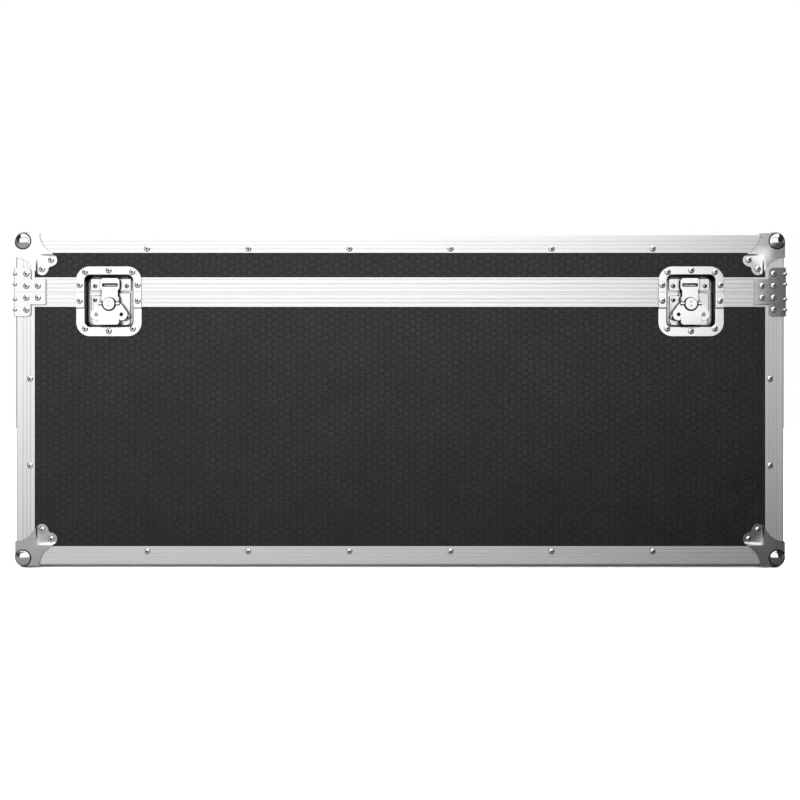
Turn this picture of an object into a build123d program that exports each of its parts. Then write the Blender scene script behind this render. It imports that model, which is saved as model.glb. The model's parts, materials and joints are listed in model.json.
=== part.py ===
from build123d import *
from math import atan2, cos, degrees, radians, sin
import os

# A flight case with a hinged lid, two recessed butterfly latches and two end handles.
# Millimetres. +X is to the right, +Y to the back, +Z up; the origin is on the floor, under the middle.
os.makedirs("parts", exist_ok=True)

# Case, measured over its edge extrusions
case_w = 1230.0
case_d = 530.0
base_h = 437.0
lid_h = 93.0

# Panels and their foam lining
panel_t = 9.0
lining_t = 3.3
panel_play = 0.1
lining_play = 0.2

# Double-angle edge extrusion
leg = 30.0
wall = 1.5
inner_wall = 1.2
inner_leg = 18.0
edge_r = 2.0
edge_groove_pitch = 6.0
edge_groove_w = 1.4
edge_groove_d = 0.4
mitre_gap = 0.15

# Tongue-and-groove rails at the parting line
rail_h = 23.6
part_gap = 0.3
rail_web = 1.5
rail_groove_pitch = 6.8
rail_groove_w = 3.0
rail_groove_d = 0.4
tongue_h = 3.0
tongue_w = 4.0
tongue_taper = 0.5
tongue_play = 0.6

# Blind rivets
rivet_r = 2.0
rivet_play = 0.1
rivet_head_r = 4.8
rivet_head_h = 1.9
rivet_rim = 0.3
rivet_dome = 0.55
mandrel_r = 1.25
mandrel_depth = 1.1
small_head_r = 3.3
rivets_x = 6
rivets_y = 3
rivets_z = 2
end_rivet_x = 210.0
end_rivet_y = 103.0
low_post_rivet = 159.0
bottom_rivet_in = 21.4
top_rivet_in = 23.4
post_rivet_in = 22.2

# Ball corners, measured from the case's corner
ball_r = 16.8
ball_in = 11.3
ball_root_r = 6.0
corner_t = 1.2
corner_arc_r = 32.0
corner_arc_at = 70.0
corner_crank = 31.8
crank_w = 3.6
lobe_r = 9.5
lobe_near = 41.6
lobe_far = 56.3
lobe_notch_r = 6.0

# Corner braces at the parting line
brace_t = 2.5
brace_w = 24.2
brace_h = 38.8
brace_arm = 48.0
brace_arm_h = 20.0
brace_chamfer = 4.0
brace_bend_r = 1.5
brace_gap = 0.2
brace_rib_r = 4.1
brace_rib_h = 4.6
brace_rib_edge_r = 2.2
brace_rib_out = 0.7
brace_col = 17.5
brace_arm_col = 36.0
brace_low_row = 28.7
brace_front_row = 9.5
brace_side_row = 11.9

# Latch dish, split at the parting line
latch_in = 148.7
dish_w = 104.5
dish_top = 41.0
dish_bottom = 70.5
dish_r = 22.0
dish_t = 1.2
dish_depth = 14.0
dish_joggle = 24.6
dish_joggle_w = 2.0
dish_rim_r = 1.6
open_w = 77.0
open_top = 27.2
open_bottom = 55.6
open_r = 8.5
dish_play = 0.8
dish_corner_rivet = (37.8, 31.9)
dish_top_rivet = 34.6
dish_side_rivet_x = 46.4
dish_side_rivet_up = 11.1
dish_side_rivet_down = 14.1
dish_low_rivet = (38.2, 58.6)
dish_bottom_rivet = 62.5

# Latch works; depths are counted outwards from the dish's floor
knob_drop = 18.7
base_plate_t = 1.5
base_plate_w = 62.0
base_plate_bottom = 52.0
base_plate_left_top = 5.0
base_plate_right_top = 0.5
base_plate_step_x = 16.0
base_plate_r = 6.0
latch_rivet_x = 25.5
latch_rivet_down = 11.5
latch_rivet_low = (27.5, 40.0)
keeper_t = 1.5
keeper_low = 3.7
keeper_high = 22.3
keeper_w = 64.0
keeper_r = 1.5
keeper_rivet_up = 10.8
nose_w = 22.0
nose_t = 2.6
nose_up = 10.4
nose_height = 3.0
nose_edge_r = 0.6
claw_t = 2.0
claw_gap = 0.4
claw_w = 25.4
claw_head_w = 30.6
claw_bottom = 33.5
claw_top = 23.2
claw_neck = 3.0
claw_shoulder = 6.8
claw_clip = 3.2
claw_window = (25.0, 5.4)
claw_window_at = 12.0
claw_travel = 2.8
guide_t = 1.7
guide_low = 34.0
guide_high = 7.0
guide_play = 0.3
spindle_r = 3.95
spindle_play = 0.05
eccentric_r = 7.0
slot_play = 0.5
boss_r = 9.8
boss_proud = 0.3
boss_chamfer = 0.8
dimple_r = 1.6
dimple_depth = 0.5
dimple_at = 3.3
wing_t = 2.0
wing_pin_depth = 10.5
wing_pin_r = 1.5
wing_pin_play = 0.05
wing_ear_r = 2.8
wing_ear_in = 11.4
wing_ear_out = 17.0
wing_shoulder = 19.3
wing_tangent = 25.0
wing_cut_r = 11.8
wing_lobe_r = 9.4
wing_lobe_x = 20.0
wing_lobe_down = 17.0
wing_hole_r = 3.2
wing_skirt = 23.6
tab_w = 32.7
tab_down = 33.9
tab_tilt = 12.0
tab_r = 4.0

# Rear hinges
hinge_in = 185.0
hinge_w = 80.0
hinge_t = 2.0
hinge_reach = 52.0
hinge_joggle = 26.0
hinge_r = 4.0
hinge_out = 5.5
hinge_pin_r = 2.5
hinge_pin_play = 0.05
hinge_pin_head = 0.8
hinge_mid_w = 30.0
hinge_play = 0.4
hinge_rivet_x = 29.0
hinge_rivet_near = 14.0
hinge_rivet_far = 41.0

# End handles, measured from the handle dish's middle
handle_up = 250.0
handle_flange_w = 12.0
handle_flange_h = 11.5
handle_dish_r = 18.0
handle_open_w = 148.0
handle_open_h = 104.0
handle_open_r = 10.0
handle_depth = 13.0
handle_rivet_corner = 1.5
handle_rivet_side = 6.0
handle_rivet_middle = 5.8
handle_pivot_down = 18.0
bail_r = 3.5
bail_arm_in = 21.0
bail_drop = 62.0
bail_bend = 7.0
bail_end_play = 3.0
bail_in = 6.1
grip_r = 5.4
grip_end = 11.0
grip_edge_r = 1.3
grip_play = 0.05
bracket_t = 3.0
bracket_in = 6.5
bracket_r = 6.0
bracket_play = 0.06
spring_wire_r = 0.9
spring_turns = 3
spring_play = 0.35

# Places that follow from the sizes above
half_w = case_w / 2
half_d = case_d / 2
bottom_z = ball_r - ball_in
part_z = bottom_z + base_h
top_z = part_z + lid_h
mid_z = (bottom_z + top_z) / 2
panel_in = wall + panel_t
slot_end = panel_in + inner_wall
inside_in = slot_end + lining_t
half_gap = part_gap / 2
latch_x = half_w - latch_in
hinge_x = half_w - hinge_in
groove_roof = half_gap + tongue_h + tongue_play + rail_web
shank = panel_in - rivet_play
drill_reach = panel_in + max(brace_t, hinge_t, dish_t) + wall
low = (Align.MIN, Align.MIN)
hang = (Align.CENTER, Align.MAX)
stand = (Align.CENTER, Align.MIN)


def block(near, far, mode=Mode.ADD):
    """A box from one corner to the opposite one."""
    size = [b - a for a, b in zip(near, far)]
    middle = tuple((a + b) / 2 for a, b in zip(near, far))
    with Locations(middle):
        Box(*size, mode=mode)


def finish(piece, name):
    """Label a piece and write it."""
    piece.part.label = name
    export_step(piece.part, f"parts/{name}.step")


def row(count, pitch):
    """Places of evenly spaced things about the middle."""
    return [(i - (count - 1) / 2) * pitch for i in range(count)]


def spread(count, reach):
    """Places of evenly spaced things from one end, at minus the reach, to the other."""
    return row(count, 2 * reach / (count - 1))


def front_and_back(points, proud=0.0):
    """Planes facing out of the front and the back, at (x, z)."""
    return [
        Plane(origin=(x, side * (half_d + proud), z), z_dir=(0, side, 0))
        for x, z in points
        for side in (-1, 1)
    ]


def left_and_right(points, proud=0.0):
    """Planes facing out of the two ends, at (y, z)."""
    return [
        Plane(origin=(side * (half_w + proud), y, z), z_dir=(side, 0, 0))
        for y, z in points
        for side in (-1, 1)
    ]


def under(points, proud=0.0):
    """Planes facing down out of the bottom, at (x, y)."""
    return [Plane(origin=(x, y, bottom_z - proud), z_dir=(0, 0, -1)) for x, y in points]


def over(points, proud=0.0):
    """Planes facing up out of the top, at (x, y)."""
    return [Plane(origin=(x, y, top_z + proud), z_dir=(0, 0, 1)) for x, y in points]


def both_ways(points):
    """Each point and its mirror images, for a pattern that is the same at all four corners."""
    return [(sx * a, sy * b) for a, b in points for sx in (-1, 1) for sy in (-1, 1)]


def left_and_mirror(points):
    """Each point and its mirror image left to right."""
    return [(side * a, b) for a, b in points for side in (-1, 1)]


def facing(planes, direction):
    """Those planes that face a direction."""
    return [p for p in planes if (p.z_dir - Vector(*direction)).length < 0.1]


def drill(planes):
    """Rivet holes through the active part at these planes."""
    if planes:
        with Locations(*planes):
            Cylinder(rivet_r + rivet_play, 2 * drill_reach, mode=Mode.SUBTRACT)


def rivet_shape(grip, head_r):
    """A blind rivet with a domed head on z = 0 and a shank of this length below."""
    with BuildPart() as rivet:
        with BuildSketch(Plane.XZ):
            with BuildLine():
                Polyline((mandrel_r, rivet_head_h), (mandrel_r, rivet_head_h - mandrel_depth),
                         (0, rivet_head_h - mandrel_depth), (0, -grip), (rivet_r, -grip),
                         (rivet_r, 0), (head_r, 0), (head_r, rivet_rim))
                SagittaArc((head_r, rivet_rim), (mandrel_r, rivet_head_h), -rivet_dome)
            make_face()
        revolve(axis=Axis.Z)
    return rivet.part


def set_rivets(planes, grip, head_r=rivet_head_r):
    """Rivets of one grip length at these planes, in the active part."""
    with Locations(*planes):
        add(rivet_shape(grip, head_r))


# Where the rivets go
edge_x = spread(rivets_x, half_w - end_rivet_x)
edge_y = spread(rivets_y, half_d - end_rivet_y)
post_z = [part_z - (base_h - low_post_rivet) * (i + 1) / rivets_z for i in range(rivets_z)]
low_z = bottom_z + bottom_rivet_in
high_z = top_z - top_rivet_in
base_edge_planes = (
    front_and_back([(x, low_z) for x in edge_x])
    + left_and_right([(y, low_z) for y in edge_y])
    + under([(x, s * (half_d - bottom_rivet_in)) for x in edge_x for s in (-1, 1)])
    + under([(s * (half_w - bottom_rivet_in), y) for y in edge_y for s in (-1, 1)])
    + front_and_back([(s * (half_w - post_rivet_in), z) for z in post_z for s in (-1, 1)])
    + left_and_right([(s * (half_d - post_rivet_in), z) for z in post_z for s in (-1, 1)])
)
lid_edge_planes = (
    front_and_back([(x, high_z) for x in edge_x])
    + left_and_right([(y, high_z) for y in edge_y])
    + over([(x, s * (half_d - top_rivet_in)) for x in edge_x for s in (-1, 1)])
    + over([(s * (half_w - top_rivet_in), y) for y in edge_y for s in (-1, 1)])
)
ear_sink = corner_t - wall
lobes = [(lobe_near, lobe_far), (lobe_far, lobe_near)]
base_corner_planes = (
    front_and_back(left_and_mirror([(half_w - a, bottom_z + b) for a, b in lobes]), ear_sink)
    + left_and_right(left_and_mirror([(half_d - a, bottom_z + b) for a, b in lobes]), ear_sink)
    + under(both_ways([(half_w - a, half_d - b) for a, b in lobes]), ear_sink)
)
lid_corner_planes = (
    front_and_back(left_and_mirror([(half_w - a, top_z - b) for a, b in lobes]), ear_sink)
    + left_and_right(left_and_mirror([(half_d - a, top_z - b) for a, b in lobes]), ear_sink)
    + over(both_ways([(half_w - a, half_d - b) for a, b in lobes]), ear_sink)
)


def brace_planes(sign):
    """Rivets of the braces below (-1) or above (+1) the parting line."""
    front = [(brace_col, brace_low_row), (brace_col, brace_front_row), (brace_arm_col, brace_front_row)]
    side = [(brace_col, brace_low_row), (brace_col, brace_side_row), (brace_arm_col, brace_side_row)]
    return (
        front_and_back(left_and_mirror([(half_w - a, part_z + sign * h) for a, h in front]), brace_t)
        + left_and_right(left_and_mirror([(half_d - a, part_z + sign * h) for a, h in side]), brace_t)
    )


base_brace_planes = brace_planes(-1)
lid_brace_planes = brace_planes(1)


def latch_front(points, proud):
    """Planes facing out of the front at places given from each latch's middle."""
    return [
        Plane(origin=(side * latch_x + x, -half_d - proud, part_z + h), z_dir=(0, -1, 0))
        for side in (-1, 1)
        for x, h in points
    ]


dish_floor_in = dish_depth - 2 * dish_t
dish_sink = dish_t - wall
lid_dish_planes = latch_front(
    left_and_mirror([dish_corner_rivet, (dish_side_rivet_x, dish_side_rivet_up)]) + [(0, dish_top_rivet)],
    dish_t)
base_dish_planes = latch_front(left_and_mirror([(dish_side_rivet_x, -dish_side_rivet_down)]), dish_t)
base_dish_low_planes = latch_front(
    left_and_mirror([(dish_low_rivet[0], -dish_low_rivet[1])]) + [(0, -dish_bottom_rivet)], dish_sink)
keeper_planes = latch_front(left_and_mirror([(latch_rivet_x, keeper_rivet_up)]), keeper_t - dish_floor_in)
plate_planes = latch_front(
    left_and_mirror([(latch_rivet_low[0], -latch_rivet_low[1])]) + [(-latch_rivet_x, -latch_rivet_down)],
    base_plate_t - dish_floor_in)


def hinge_planes(sign, away, proud):
    """Rivets of the hinge leaves below (-1) or above (+1) the parting line."""
    return [
        Plane(origin=(x + dx, half_d + proud, part_z + sign * away), z_dir=(0, 1, 0))
        for x in (-hinge_x, 0, hinge_x)
        for dx in (-hinge_rivet_x, hinge_rivet_x)
    ]


leaf_sink = hinge_t - wall
base_hinge_near = hinge_planes(-1, hinge_rivet_near, hinge_t)
base_hinge_far = hinge_planes(-1, hinge_rivet_far, leaf_sink)
lid_hinge_near = hinge_planes(1, hinge_rivet_near, hinge_t)
lid_hinge_far = hinge_planes(1, hinge_rivet_far, leaf_sink)
handle_z = bottom_z + handle_up
handle_half_w = handle_open_w / 2
handle_half_h = handle_open_h / 2
handle_points = both_ways([(handle_half_w + handle_rivet_corner, handle_half_h + handle_rivet_corner)])
handle_points += left_and_mirror([(handle_half_w + handle_rivet_side, 0)])
handle_points += [(0, side * (handle_half_h + handle_rivet_middle)) for side in (-1, 1)]
handle_planes = left_and_right([(y, handle_z + z) for y, z in handle_points], dish_sink)
base_planes = (base_edge_planes + base_corner_planes + base_brace_planes + base_dish_planes
               + base_dish_low_planes + base_hinge_near + base_hinge_far + handle_planes)
lid_planes = (lid_edge_planes + lid_corner_planes + lid_brace_planes + lid_dish_planes
              + lid_hinge_near + lid_hinge_far)
outward = {"front": (0, -1, 0), "back": (0, 1, 0), "left": (-1, 0, 0), "right": (1, 0, 0),
           "bottom": (0, 0, -1), "top": (0, 0, 1)}

# The latch's own plane: x to the right, y up, z out of the front face, at the parting line
latch = Plane(origin=(0, -half_d, part_z), x_dir=(1, 0, 0), z_dir=(0, -1, 0))


def at_depth(q):
    """The latch's plane, this far out from the dish's floor."""
    return latch.offset(q - dish_floor_in)


def at_knob(q):
    """The same, with its origin on the knob's axis."""
    return Plane(origin=(0, -half_d + dish_floor_in - q, part_z - knob_drop), x_dir=(1, 0, 0),
                 z_dir=(0, -1, 0))


# Cut-outs for the latch and handle dishes
with BuildPart() as latch_cutter:
    with BuildSketch(latch.offset(2 * dish_t)):
        with Locations((0, open_top + dish_t + dish_play)):
            RectangleRounded(open_w + 2 * (dish_t + dish_play),
                             open_top + open_bottom + 2 * (dish_t + dish_play),
                             open_r + dish_t, align=hang)
    extrude(amount=-(2 * dish_t + dish_depth - dish_t + dish_play / 2))

with BuildPart() as latch_cutters:
    with Locations((-latch_x, 0, 0), (latch_x, 0, 0)):
        add(latch_cutter.part)

with BuildPart() as handle_cutters:
    with BuildSketch(Plane(origin=(half_w + wall, 0, handle_z), x_dir=(0, 1, 0), z_dir=(1, 0, 0))):
        RectangleRounded(handle_open_w + 2 * (dish_t + dish_play),
                         handle_open_h + 2 * (dish_t + dish_play), handle_open_r + dish_t)
    extrude(amount=-(wall + wall - dish_t + handle_depth + dish_play / 2))
    mirror(about=Plane.YZ)

# Edge extrusion's section: x and y both point into the case from its outer corner
with BuildSketch() as angle_section:
    Rectangle(leg, wall, align=low)
    Rectangle(wall, leg, align=low)
    with Locations((0, panel_in)):
        Rectangle(inner_leg, inner_wall, align=low)
    with Locations((panel_in, 0)):
        Rectangle(inner_wall, inner_leg, align=low)
    fillet(angle_section.vertices().sort_by_distance((0, 0, 0))[0], edge_r)
    grooves = [leg - edge_groove_pitch * (i + 1) for i in range(3)]
    with Locations(*[(n, 0) for n in grooves]):
        Rectangle(edge_groove_w, 2 * edge_groove_d, mode=Mode.SUBTRACT)
    with Locations(*[(0, n) for n in grooves]):
        Rectangle(2 * edge_groove_d, edge_groove_w, mode=Mode.SUBTRACT)


def rail_grooves(sign):
    """Three shallow grooves along a rail's face."""
    places = [rail_h / 2 + half_gap / 2 + rail_groove_pitch * k for k in (-1, 0, 1)]
    with Locations(*[(0, sign * h) for h in places]):
        Rectangle(2 * rail_groove_d, rail_groove_w, mode=Mode.SUBTRACT)


# Tongue rail: x points into the case and y up, from the parting line on the case's face
tongue_mid = slot_end / 2
with BuildSketch() as tongue_section:
    with Locations((0, -rail_h)):
        Rectangle(wall, rail_h - half_gap, align=low)
    with Locations((0, -half_gap - rail_web)):
        Rectangle(slot_end, rail_web, align=low)
    with Locations((panel_in, -inner_leg)):
        Rectangle(inner_wall, inner_leg - half_gap, align=low)
    with BuildLine():
        Polyline((tongue_mid - tongue_w / 2, -half_gap - rail_web / 2),
                 (tongue_mid - tongue_w / 2, -half_gap),
                 (tongue_mid - tongue_w / 2 + tongue_taper, tongue_h),
                 (tongue_mid + tongue_w / 2 - tongue_taper, tongue_h),
                 (tongue_mid + tongue_w / 2, -half_gap),
                 (tongue_mid + tongue_w / 2, -half_gap - rail_web / 2), close=True)
    make_face()
    rail_grooves(-1)

# Groove rail, the same way up, above the parting line
with BuildSketch() as groove_section:
    with Locations((0, half_gap)):
        Rectangle(wall, rail_h - half_gap, align=low)
    with Locations((0, half_gap)):
        Rectangle(slot_end, groove_roof - half_gap, align=low)
    with Locations((panel_in, half_gap)):
        Rectangle(inner_wall, inner_leg - half_gap, align=low)
    with Locations((tongue_mid, 0)):
        Rectangle(tongue_w + 2 * tongue_play, groove_roof - rail_web, align=stand, mode=Mode.SUBTRACT)
    rail_grooves(1)


def long_members(section, z):
    """Front and back lengths of a mitred ring."""
    with BuildPart() as members:
        with BuildSketch(Plane(origin=(0, -half_d, z), x_dir=(0, 1, 0), z_dir=(1, 0, 0))):
            add(section.sketch)
        extrude(amount=half_w)
        split(bisect_by=Plane(origin=(half_w - mitre_gap, -half_d, z), z_dir=(1, 1, 0)), keep=Keep.BOTTOM)
        mirror(about=Plane.YZ)
        mirror(about=Plane.XZ)
    return members.part


def short_members(section, z):
    """Left and right lengths of a mitred ring."""
    with BuildPart() as members:
        with BuildSketch(Plane(origin=(-half_w, 0, z), x_dir=(1, 0, 0), z_dir=(0, -1, 0))):
            add(section.sketch)
        extrude(amount=half_d)
        split(bisect_by=Plane(origin=(-half_w, mitre_gap - half_d, z), z_dir=(-1, 1, 0)), keep=Keep.TOP)
        mirror(about=Plane.XZ)
        mirror(about=Plane.YZ)
    return members.part


# What the balls take off the extrusions' outer corners
with BuildPart() as ball_clip:
    Box(ball_in, ball_in, ball_in, align=(Align.MIN, Align.MIN, Align.MIN))
    with Locations((ball_in, ball_in, ball_in)):
        Sphere(ball_r - corner_t - rivet_play, mode=Mode.SUBTRACT)

with BuildPart() as ball_clips:
    with Locations((-half_w, -half_d, bottom_z)):
        add(ball_clip.part)
    mirror(about=Plane.YZ)
    mirror(about=Plane.XZ)

with BuildPart() as bottom_ring:
    add(long_members(angle_section, bottom_z))
    add(short_members(angle_section, bottom_z))
    add(ball_clips.part, mode=Mode.SUBTRACT)

with BuildPart() as base_bottom_edges:
    add(bottom_ring.part)
    drill(base_edge_planes)
finish(base_bottom_edges, "base_bottom_edges")

with BuildPart() as lid_top_edges:
    mirror(bottom_ring.part, about=Plane.XY.offset(mid_z))
    drill(lid_edge_planes)
finish(lid_top_edges, "lid_top_edges")


def corner_posts(z, length):
    """Four upright extrusions."""
    with BuildPart() as posts:
        with BuildSketch(Plane(origin=(-half_w, -half_d, z), x_dir=(1, 0, 0), z_dir=(0, 0, 1))):
            add(angle_section.sketch)
        extrude(amount=length)
        mirror(about=Plane.YZ)
        mirror(about=Plane.XZ)
    return posts.part


with BuildPart() as base_corner_posts:
    add(corner_posts(bottom_z + leg, base_h - leg - rail_h))
    drill(base_edge_planes + base_brace_planes)
finish(base_corner_posts, "base_corner_posts")

with BuildPart() as lid_corner_posts:
    add(corner_posts(part_z + rail_h, lid_h - leg - rail_h))
    drill(lid_brace_planes)
finish(lid_corner_posts, "lid_corner_posts")

with BuildPart() as base_tongue_rails:
    add(long_members(tongue_section, part_z))
    add(short_members(tongue_section, part_z))
    add(latch_cutters.part, mode=Mode.SUBTRACT)
    drill(base_brace_planes + base_dish_planes + base_hinge_near)
finish(base_tongue_rails, "base_tongue_rails")

with BuildPart() as lid_groove_rails:
    add(long_members(groove_section, part_z))
    add(short_members(groove_section, part_z))
    add(latch_cutters.part, mode=Mode.SUBTRACT)
    drill(lid_brace_planes + lid_dish_planes + lid_hinge_near)
finish(lid_groove_rails, "lid_groove_rails")

# Panels stand in the extrusions' slots
panel_x = half_w - slot_end - panel_play
panel_y = half_d - slot_end - panel_play
base_low = bottom_z + slot_end
base_high = part_z - half_gap - rail_web
lid_low = part_z + groove_roof
lid_high = top_z - slot_end


def end_panel(side, z_low, z_high):
    """An end panel: side is -1 at the left and +1 at the right."""
    edges = sorted((side * (half_w - wall), side * (half_w - panel_in)))
    block((edges[0], -panel_y, z_low), (edges[1], panel_y, z_high))


def long_panel(side, z_low, z_high):
    """A front (-1) or back (+1) panel."""
    edges = sorted((side * (half_d - wall), side * (half_d - panel_in)))
    block((-panel_x, edges[0], z_low), (panel_x, edges[1], z_high))


for half, z_low, z_high, holes in (("base", base_low, base_high, base_planes),
                                   ("lid", lid_low, lid_high, lid_planes)):
    with BuildPart() as front_panel:
        long_panel(-1, z_low, z_high)
        add(latch_cutters.part, mode=Mode.SUBTRACT)
        drill(facing(holes, outward["front"]))
    finish(front_panel, f"{half}_panel_front")

    with BuildPart() as back_panel:
        long_panel(1, z_low, z_high)
        drill(facing(holes, outward["back"]))
    finish(back_panel, f"{half}_panel_back")

    for name, side in (("left", -1), ("right", 1)):
        with BuildPart() as side_panel:
            end_panel(side, z_low, z_high)
            add(handle_cutters.part, mode=Mode.SUBTRACT)
            drill(facing(holes, outward[name]))
        finish(side_panel, f"{half}_panel_{name}")

with BuildPart() as base_panel_bottom:
    block((-panel_x, -panel_y, bottom_z + wall), (panel_x, panel_y, bottom_z + panel_in))
    drill(facing(base_planes, outward["bottom"]))
finish(base_panel_bottom, "base_panel_bottom")

with BuildPart() as lid_panel_top:
    block((-panel_x, -panel_y, top_z - panel_in), (panel_x, panel_y, top_z - wall))
    drill(facing(lid_planes, outward["top"]))
finish(lid_panel_top, "lid_panel_top")

# Foam lining: each sheet is glued to its panel between the extrusions' inner legs and laps over them
pad_x = half_w - inner_leg - lining_play
pad_y = half_d - inner_leg - lining_play
sheet_x = half_w - slot_end - lining_play
sheet_y = half_d - inside_in - lining_play
rail_clear = inner_leg + lining_play
rim_clear = half_gap + lining_play


def lining_walls(sheet_z, pad_z):
    """Four upright sheets between two heights, with their glued pads between two others."""
    for side in (-1, 1):
        y = sorted((side * (half_d - inside_in), side * (half_d - slot_end)))
        block((-sheet_x, y[0], sheet_z[0]), (sheet_x, y[1], sheet_z[1]))
        y = sorted((side * (half_d - slot_end), side * (half_d - panel_in)))
        block((-pad_x, y[0], pad_z[0]), (pad_x, y[1], pad_z[1]))
        x = sorted((side * (half_w - inside_in), side * (half_w - slot_end)))
        block((x[0], -sheet_y, sheet_z[0]), (x[1], sheet_y, sheet_z[1]))
        x = sorted((side * (half_w - slot_end), side * (half_w - panel_in)))
        block((x[0], -pad_y, pad_z[0]), (x[1], pad_y, pad_z[1]))


with BuildPart() as base_lining_walls:
    lining_walls((base_low, part_z - rim_clear), (bottom_z + rail_clear, part_z - rail_clear))
    add(latch_cutters.part, mode=Mode.SUBTRACT)
    add(handle_cutters.part, mode=Mode.SUBTRACT)
finish(base_lining_walls, "base_lining_walls")

with BuildPart() as lid_lining_walls:
    lining_walls((part_z + rim_clear, lid_high), (part_z + rail_clear, top_z - rail_clear))
    add(latch_cutters.part, mode=Mode.SUBTRACT)
finish(lid_lining_walls, "lid_lining_walls")

floor_x = half_w - inside_in - lining_play
floor_y = half_d - inside_in - lining_play
with BuildPart() as base_lining_floor:
    block((-floor_x, -floor_y, base_low), (floor_x, floor_y, base_low + lining_t))
    block((-pad_x, -pad_y, bottom_z + panel_in), (pad_x, pad_y, base_low))
finish(base_lining_floor, "base_lining_floor")

with BuildPart() as lid_lining_top:
    block((-floor_x, -floor_y, lid_high - lining_t), (floor_x, floor_y, lid_high))
    block((-pad_x, -pad_y, lid_high), (pad_x, pad_y, top_z - panel_in))
finish(lid_lining_top, "lid_lining_top")


# Ball corner, made with the case's corner at the origin and the case in the +X +Y +Z octant
def corner_outline():
    """One face's outline: two concave flanks and a two-lobed ear, in the active sketch."""
    flank = corner_arc_at - (corner_arc_r**2 - leg**2) ** 0.5
    Rectangle(flank, flank, align=low)
    with Locations(*lobes):
        Circle(lobe_r)
    with Locations((corner_arc_at, 0), (0, corner_arc_at)):
        Circle(corner_arc_r, mode=Mode.SUBTRACT)
    notch = lobe_far + corner_t
    with Locations((notch, notch)):
        Circle(lobe_notch_r, mode=Mode.SUBTRACT)


corner_faces = [
    Plane(origin=(0, 0, 0), x_dir=(0, 1, 0), z_dir=(0, 0, -1)),
    Plane(origin=(0, 0, 0), x_dir=(1, 0, 0), z_dir=(0, -1, 0)),
    Plane(origin=(0, 0, 0), x_dir=(0, 0, 1), z_dir=(-1, 0, 0)),
]
ball_middle = (ball_in, ball_in, ball_in)
ear_size = 2 * lobe_far
ball_face = ball_in + corner_t
root_in = (ball_r**2 - ball_face**2) ** 0.5
root_out = ((ball_r + ball_root_r) ** 2 - (ball_face + ball_root_r) ** 2) ** 0.5
root_share = ball_r / (ball_r + ball_root_r)
root_top = root_share * (ball_face + ball_root_r) - ball_face


def ball_root(plane):
    """The hollow fillet between the ball and one face's plate."""
    foot = plane.from_local_coords((ball_in, ball_in, corner_t))
    with BuildPart() as root:
        with BuildSketch(Plane(origin=foot, x_dir=plane.x_dir, z_dir=-plane.y_dir)):
            with BuildLine():
                Polyline((root_out, 0), (root_out, -corner_t / 2), (root_in - corner_t / 2, -corner_t / 2),
                         (root_share * root_out, root_top))
                CenterArc((root_out, ball_root_r), ball_root_r, -90,
                          -degrees(atan2(root_out, ball_face + ball_root_r)))
            make_face()
        revolve(axis=Axis(foot, plane.z_dir))
        with BuildSketch(plane):
            with Locations((-corner_t, -corner_t)):
                Rectangle(ear_size, ear_size, align=low)
        extrude(amount=ball_r, mode=Mode.INTERSECT)
    return root.part


def crank_room(plane, top):
    """The room above an ear's slope, from this height down to where the ear lies on the panel."""
    with BuildPart() as room:
        for level, start in ((top, corner_crank), (top - wall, corner_crank + crank_w)):
            with BuildSketch(plane.offset(level)):
                with Locations((start, start)):
                    Rectangle(ear_size, ear_size, align=low)
        loft()
    return room.part


def sunk_ear(plane):
    """What an ear reaches into the case's face: the slope and the part on the panel."""
    with BuildPart() as ear:
        with BuildSketch(plane):
            corner_outline()
        extrude(amount=-wall)
        add(crank_room(plane, 0), mode=Mode.INTERSECT)
    return ear.part


with BuildPart() as ball_cap:
    with Locations(ball_middle):
        Sphere(ball_r)
        Sphere(ball_r - corner_t, mode=Mode.SUBTRACT)
    block((0, 0, 0), ball_middle, mode=Mode.INTERSECT)

with BuildPart() as beyond_ball:
    block((-ball_r, -ball_r, -ball_r), ball_middle)
    with Locations(ball_middle):
        Sphere(ball_r, mode=Mode.SUBTRACT)

with BuildPart() as ball_corner:
    for plane in corner_faces:
        with BuildSketch(plane):
            corner_outline()
            with Locations((-corner_t, -corner_t)):
                Rectangle(corner_arc_at - corner_arc_r + corner_t, corner_t, align=low)
                Rectangle(corner_t, corner_arc_at - corner_arc_r + corner_t, align=low)
        extrude(amount=corner_t)
        add(ball_root(plane))
    with Locations(ball_middle):
        Sphere(ball_r)
    add(beyond_ball.part, mode=Mode.SUBTRACT)
    block((0, 0, 0), (ear_size, ear_size, ear_size), mode=Mode.SUBTRACT)
    add(ball_cap.part)
    for plane in corner_faces:
        add(sunk_ear(plane))
        add(crank_room(plane, corner_t), mode=Mode.SUBTRACT)

with BuildPart() as corner_set:
    with Locations((-half_w, -half_d, bottom_z)):
        add(ball_corner.part)
    mirror(about=Plane.YZ)
    mirror(about=Plane.XZ)

with BuildPart() as base_ball_corners:
    add(corner_set.part)
    drill(base_corner_planes)
finish(base_ball_corners, "base_ball_corners")

with BuildPart() as lid_ball_corners:
    mirror(corner_set.part, about=Plane.XY.offset(mid_z))
    drill(lid_corner_planes)
finish(lid_ball_corners, "lid_ball_corners")


# Corner braces wrap the upright edge at the parting line, one half on the base and one on the lid
def brace_outline():
    """One face of a brace's half: x in from the case's edge, y away from the parting line."""
    with Locations((-brace_t, brace_gap / 2)):
        Rectangle(brace_w + brace_t, brace_h - brace_gap / 2, align=low)
        Rectangle(brace_arm + brace_t, brace_arm_h - brace_gap / 2, align=low)


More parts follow.
